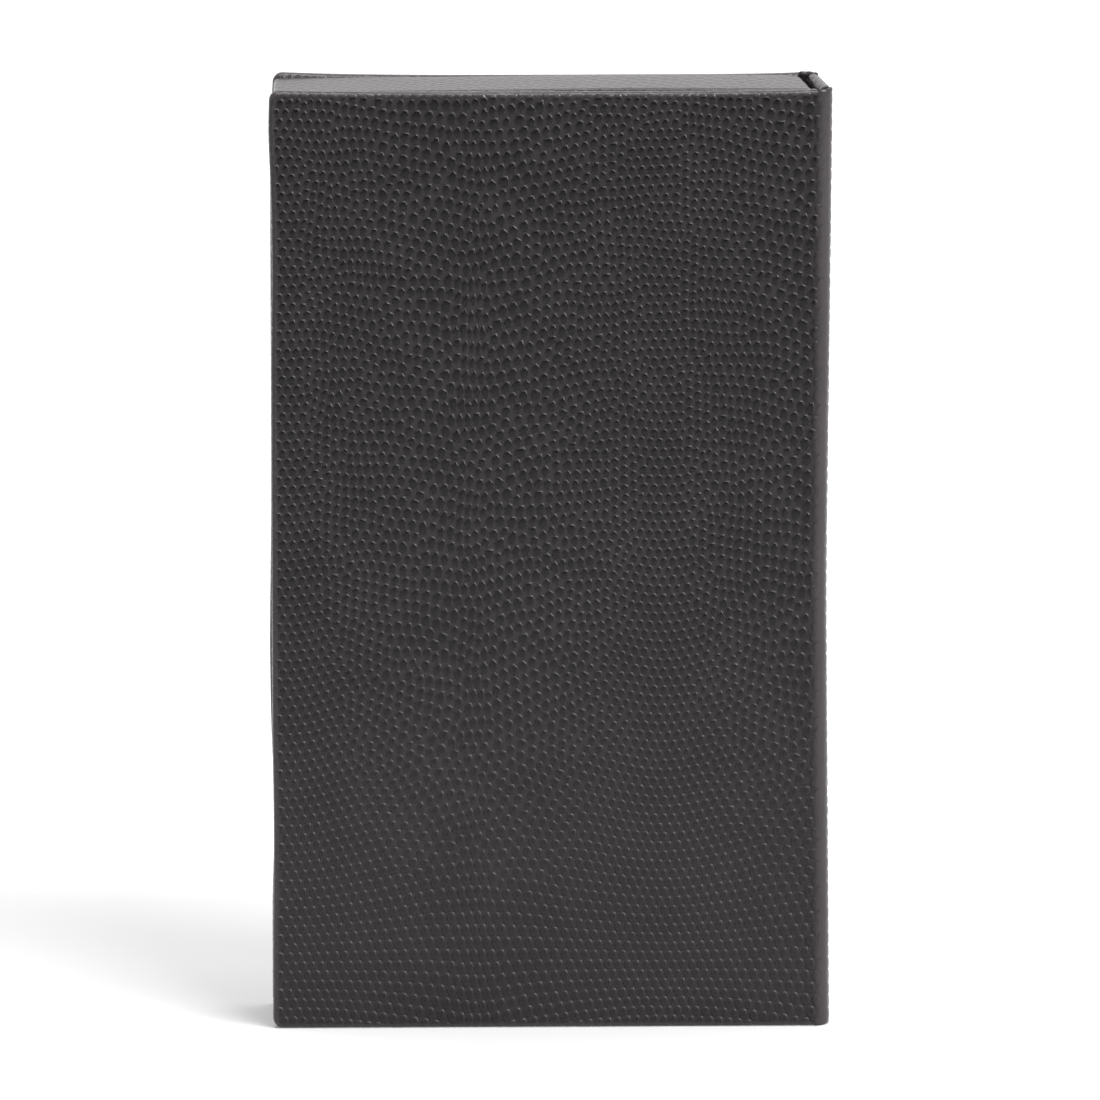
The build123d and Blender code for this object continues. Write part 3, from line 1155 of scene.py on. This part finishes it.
def down_board_end(u, top, bottom, way):
    """The cloth's turn down a board's end into the joint, as (u, depth) points. way is 1 towards larger u."""
    quarter = np.linspace(0, pi / 2, 5)
    turn = [(u + way * cloth_turn * sin(a), top - cloth_turn * (1 - cos(a))) for a in quarter]
    return turn + [(u + way * cloth_turn, bottom)]


window_u = turn_in_width + lining_inset - cover_corner_radius
lid_path = level_run(window_u, lid_end - cloth_gap, lid_inside, 6.0)
lid_path += down_board_end(lid_end, lid_inside, joint_inside, 1)[1:]
lid_lining = cloth_strip("lid_lining_cloth", lid_path)
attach(lid_lining, "lid")
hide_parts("lid_lining")

front_path = level_run(lid_end + cloth_gap, front_joint_end - cloth_gap, joint_inside, 0.4)
front_lining = cloth_strip("front_joint_lining_cloth", front_path)
across_joint(front_lining, "spine", "lid", *front_joint_places)
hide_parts("front_hinge_lining")

spine_path = down_board_end(front_joint_end, spine_inside, joint_inside, -1)[::-1]
spine_path += level_run(front_joint_end + past_turn, spine_stop - past_turn, spine_inside, 1.5)
spine_path += down_board_end(spine_stop, spine_inside, joint_inside, 1)
spine_lining = cloth_strip("spine_lining_cloth", spine_path)
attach(spine_lining, "spine")
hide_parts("spine_lining")

back_path = level_run(spine_stop + cloth_gap, back_joint_end - cloth_gap, joint_inside, 0.4)
back_lining = cloth_strip("back_joint_lining_cloth", back_path)
across_joint(back_lining, "base", "spine", *back_joint_places)
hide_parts("back_hinge_lining")

# Back board's end: the joint's cloth turned up over it, where it would show beside the tray of an open box.

end_path = down_board_end(back_joint_end, lid_inside, joint_inside, -1)[::-1]
board_end_cloth = cloth_strip("back_board_end_cloth", end_path)
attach(board_end_cloth, "base")


# ---------------------------------------------------------------------------------------------------------
# Tray: four board walls on a board floor, glued to the back cover. One strip of the same leather, cut on the
# slant of the hide and pulled tight, is wrapped round them outside, over the rim and down inside.

tray_low, tray_high = (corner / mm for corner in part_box("tray_leather"))
wall_thickness = 4.0
rim_radius = 0.8
tray_corner_radius = 1.2
least_corner = 0.15
tray_back_radius = 3.0
tray_line = 52.395
tray_floor_thickness = 2.0
print_tilt = radians(-34.0)
# Pressed this flat, the whole strip takes the paler drawn colour, which is partly painted sheen
tray_flattening = 0.88

tray_mid_x = (tray_line - sin(spine_lean) * (tray_low.y + tray_high.y) / 2) / cos(spine_lean)
tray_sides = [tray_mid_x - tray_low.x, tray_high.z - tray_low.z] * 2
tray_turns = np.concatenate([[0], np.cumsum(tray_sides)])
outer_wall = tray_high.y - tray_low.y - rim_radius
rim_quarter = pi / 2 * rim_radius
rim_flat = wall_thickness - 2 * rim_radius
inner_wall = tray_high.y - tray_floor_thickness - tray_low.y - rim_radius
strip_width = outer_wall + 2 * rim_quarter + rim_flat + inner_wall


def spine_wall_x(y):
    """The outside of the tray's spine wall at depth y: leaning like the spine, and rounded at the back."""
    centre_y = tray_high.y - tray_back_radius
    centre_x = (tray_line - tray_back_radius - sin(spine_lean) * centre_y) / cos(spine_lean)
    rounded = y > centre_y + tray_back_radius * sin(spine_lean)
    up = np.clip((y - centre_y) / tray_back_radius, -1, 1)
    lean = np.where(rounded, np.arcsin(up), spine_lean)
    straight = (tray_line - sin(spine_lean) * y) / cos(spine_lean)
    return np.where(rounded, centre_x + tray_back_radius * np.cos(lean), straight), lean


def on_tray(flat):
    """Wraps the flat strip (along the walls, from the back over the rim, height) round the tray."""
    along, s, rise = flat.T
    first = np.clip((s - outer_wall) / rim_radius, 0, pi / 2)
    second = np.clip((s - outer_wall - rim_quarter - rim_flat) / rim_radius, 0, pi / 2)
    across = np.clip(s - outer_wall - rim_quarter, 0, rim_flat)
    down = np.maximum(s - outer_wall - 2 * rim_quarter - rim_flat, 0)
    depth = rim_radius * (1 - np.cos(first)) + across + rim_radius * np.sin(second)
    y = tray_high.y - np.minimum(s, outer_wall) - rim_radius * np.sin(first)
    y = y + rim_radius * (1 - np.cos(second)) + down
    turn = first + second
    pressed = np.maximum(fold_flattening * np.abs(np.sin(turn)), tray_flattening)
    rise = lowered(rise, pressed)
    _, lean = spine_wall_x(np.where(turn > pi / 2, tray_low.y + rim_radius, y))
    x_range = (tray_low.x + depth, spine_wall_x(y)[0] - depth)
    z_range = (tray_low.z + depth, tray_high.z - depth)
    side = np.clip(np.searchsorted(tray_turns, along, "right") - 1, 0, 3)
    share = (along - tray_turns[side]) / np.array(tray_sides)[side]
    share_x = np.choose(side, [share, np.ones_like(share), 1 - share, np.zeros_like(share)])
    share_z = np.choose(side, [np.zeros_like(share), share, np.ones_like(share), 1 - share])
    x = x_range[0] + share_x * (x_range[1] - x_range[0])
    z = z_range[0] + share_z * (z_range[1] - z_range[0])
    radius = np.maximum(tray_corner_radius - depth, least_corner)
    core_x = np.clip(x, x_range[0] + radius, x_range[1] - radius)
    core_z = np.clip(z, z_range[0] + radius, z_range[1] - radius)
    out_x, out_z = x - core_x, z - core_z
    length = np.maximum(np.hypot(out_x, out_z), nothing)
    out_x, out_z = out_x / length, out_z / length
    tilt = np.where(out_x > 0, lean, 0)
    normal_x = np.cos(turn) * out_x * np.cos(tilt)
    normal_y = np.cos(turn) * out_x * np.sin(tilt) - np.sin(turn)
    normal_z = np.cos(turn) * out_z
    return np.stack([
        core_x + radius * out_x + rise * normal_x,
        y + rise * normal_y,
        core_z + radius * out_z + rise * normal_z,
        1 - pressed,
    ], 1)


def turned(points, angle):
    return points @ np.array([[cos(angle), sin(angle)], [-sin(angle), cos(angle)]])


strip_margin = 4


def tray_strip():
    """The printed strip, cut on the slant of the hide."""
    strip_corners = [(0, 0), (tray_turns[-1], 0), (tray_turns[-1], strip_width), (0, strip_width)]
    on_hide = turned(np.array(strip_corners), -print_tilt)

    def near_strip(points):
        across = turned(points, print_tilt)[:, 1]
        return (across > -strip_margin) & (across < strip_width + strip_margin)

    centres = scale_centres(on_hide.min(0) - hide_margin, on_hide.max(0) + hide_margin, near_strip)
    return printed_sheet(strip_corners, turned(centres, print_tilt))


# The strip is cut where it bends: at the corners, over the rim, and round the foot beside the spine
strip = tray_strip()
round_corner = (-1.2, -0.8, -0.4, 0.0, 0.4, 0.8, 1.2)
corner_bends = [turn + place for turn in tray_turns[1:4] for place in round_corner]
inner_rim = outer_wall + rim_quarter + rim_flat
rim_bends = [*np.linspace(outer_wall, outer_wall + rim_quarter, 5)]
rim_bends += [*np.linspace(inner_rim, outer_wall + 2 * rim_quarter + rim_flat, 5)]
foot_bends = [*np.linspace(0.3, 2.7, 6)]
close_under(strip, corner_bends, rim_bends + foot_bends)
raise_scales(strip, corner_bends, rim_bends)
tray_wrap = piece_from(strip, "tray_leather_wrap", cover_leather, on_tray, tray=True)
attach(tray_wrap, "base")
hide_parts("tray_leather")

# Tray pad: thin card covered in black suede cloth, dropped into the tray to stop the bill and coins from
# rattling. It is crowned a little, with soft edges.

pad_low, pad_high = (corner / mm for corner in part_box("tray_floor_pad"))
pad_corner = 0.25
pad_crown = 0.12
nap_shadow = (0.016, 0.0155, 0.016, 1.0)
nap_light = (0.030, 0.029, 0.030, 1.0)
brushed_patch = 9.0
nap_length = 0.25


def suede():
    """Short nap: soft patches brushed lighter and darker, with a sheen at the edges."""
    material, tree, shader = new_finish(
        "black_suede", Roughness=0.95, Specular_IOR_Level=0.1, Sheen_Weight=0.15, Sheen_Roughness=0.4,
    )
    place = object_place(tree)
    brushed = noise(tree, place, 1 / (brushed_patch * mm), 5.0)
    brushed.inputs["Distortion"].default_value = 0.6
    nap = noise(tree, place, 1 / (nap_length * mm), 3.0).outputs["Fac"]
    share = mapped(tree, brushed.outputs["Fac"], 0.35, 0.65, 0.0, 1.0)
    patches = mixed_colour(tree, share, nap_shadow, nap_light)
    fleck = mapped(tree, nap, 0.3, 0.7, 0.8, 1.2)
    tree.links.new(shaded(tree, patches, fleck), shader.inputs["Base Color"])
    bump(tree, shader, nap, 0.5, 0.05)
    return material


def tray_pad():
    bm = bmesh.new()
    bmesh.ops.create_grid(bm, x_segments=28, y_segments=48, size=0.5)
    width, length = pad_high.x - pad_low.x, pad_high.z - pad_low.z
    bmesh.ops.scale(bm, vec=(width, length, 1), verts=bm.verts)
    grown = bmesh.ops.extrude_face_region(bm, geom=bm.faces[:])["geom"]
    thick = pad_high.y - pad_low.y - pad_crown
    top = [v for v in grown if isinstance(v, bmesh.types.BMVert)]
    bmesh.ops.translate(bm, verts=top, vec=(0, 0, thick))
    bmesh.ops.recalc_face_normals(bm, faces=bm.faces)
    rims = [e for e in bm.edges if len(e.link_faces) == 2 and e.calc_face_angle(0) > 1]
    bmesh.ops.bevel(
        bm, geom=rims, offset=pad_corner, segments=3, profile=0.5, affect="EDGES",
        clamp_overlap=True, material=-1,
    )
    for vert in bm.verts:
        x, y, z = vert.co
        if z > thick / 2:
            vert.co.z += pad_crown * max(0, 1 - (2 * x / width) ** 4) * max(0, 1 - (2 * y / length) ** 6)
    middle = ((pad_low.x + pad_high.x) / 2, (pad_low.z + pad_high.z) / 2)

    def lay(points):
        x, y, z = points.T
        return np.stack([middle[0] + x, pad_high.y - z, middle[1] + y], 1)

    return piece_from(bm, "tray_suede_pad", suede(), lay, tray=True)


pad = tray_pad()
pad.data.set_sharp_from_angle(angle=radians(60))
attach(pad, "base")
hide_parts("tray_floor_pad")


# ---------------------------------------------------------------------------------------------------------
# Closure: nickel-plated magnets let into the tray's fore wall, and steel strips let into the lid board to
# meet them. Both are the modelled solids in their own metal.

def brush_group():
    """Fine lines brushed along the box, over Object coordinates: how deep each place is brushed."""
    group, source, sink = pattern_group("brushed_lines", {"Line Width": 0.12, "Stretch": 4.0}, ("Depth",))
    along = group.nodes.new("ShaderNodeCombineXYZ")
    along.inputs["X"].default_value = along.inputs["Y"].default_value = 1.0
    group.links.new(worked_out(group, "DIVIDE", 1.0, source.outputs["Stretch"]), along.inputs["Z"])
    drawn_out = group.nodes.new("ShaderNodeVectorMath")
    drawn_out.operation = "MULTIPLY"
    group.links.new(object_place(group), drawn_out.inputs[0])
    group.links.new(along.outputs["Vector"], drawn_out.inputs[1])
    lines = noise(group, drawn_out.outputs["Vector"], per_metre(group, source.outputs["Line Width"]), 3.0)
    group.links.new(lines.outputs["Fac"], sink.inputs["Depth"])
    return group


brushed_lines = brush_group()


def bare_metal(name, colour, roughness, stretch):
    """Metal with a fine brushed grain along the box and a few dull marks."""
    material, tree, shader = new_finish(name, Metallic=1.0)
    brush = placed(tree, brushed_lines, Stretch=stretch)["Depth"]
    dull = tuple(0.8 * c for c in colour[:3]) + (1.0,)
    tree.links.new(mixed_colour(tree, brush, dull, colour), shader.inputs["Base Color"])
    worn = mapped(tree, brush, 0.3, 0.7, roughness * 0.8, roughness * 1.3)
    tree.links.new(worn, shader.inputs["Roughness"])
    return material


for node, finish in (
    ("tray_magnets", bare_metal("nickel_plate", (0.72, 0.70, 0.65, 1.0), 0.22, 4.0)),
    ("lid_steel_strips", bare_metal("strip_steel", (0.58, 0.58, 0.59, 1.0), 0.35, 20.0)),
):
    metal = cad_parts[node].data
    metal.materials.clear()
    metal.materials.append(finish)
